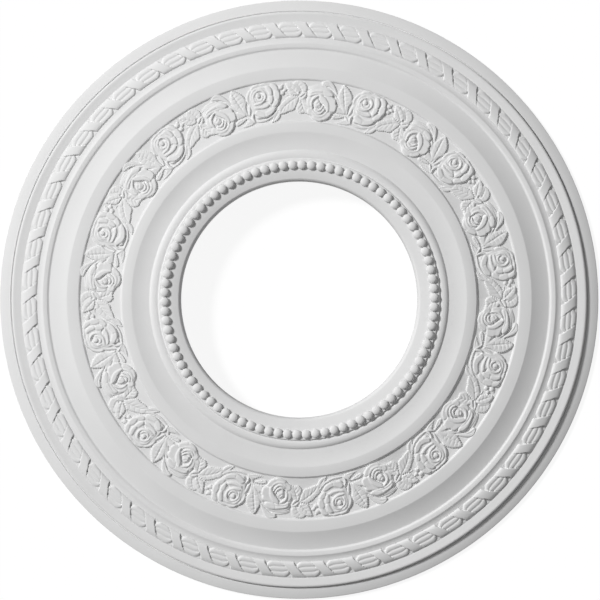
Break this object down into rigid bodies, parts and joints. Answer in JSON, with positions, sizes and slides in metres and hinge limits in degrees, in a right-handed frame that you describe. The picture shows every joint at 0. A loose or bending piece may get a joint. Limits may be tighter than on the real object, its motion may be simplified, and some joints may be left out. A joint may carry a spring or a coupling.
{
  "type": "ceiling rose",
  "caption": "Round moulded ceiling rose with a wide central opening, a bead ring, a carved frieze of roses and leaves, and a ribbon-and-reed border.",
  "frame": {"origin": "centre of the round opening, in the plane of the flat back that is fixed to the ceiling", "axes": "+Z out of the carved face, which is down into the room once the rose is on a ceiling; X and Y lie in the back, and the ornament repeats evenly round Z"},
  "size_m": [0.6, 0.6, 0.0434],
  "materials": {
    "casting": "white factory primer, matt"
  },
  "bodies": {
    "root": {"ceiling_rose": "casting"}
  },
  "joints": []
}
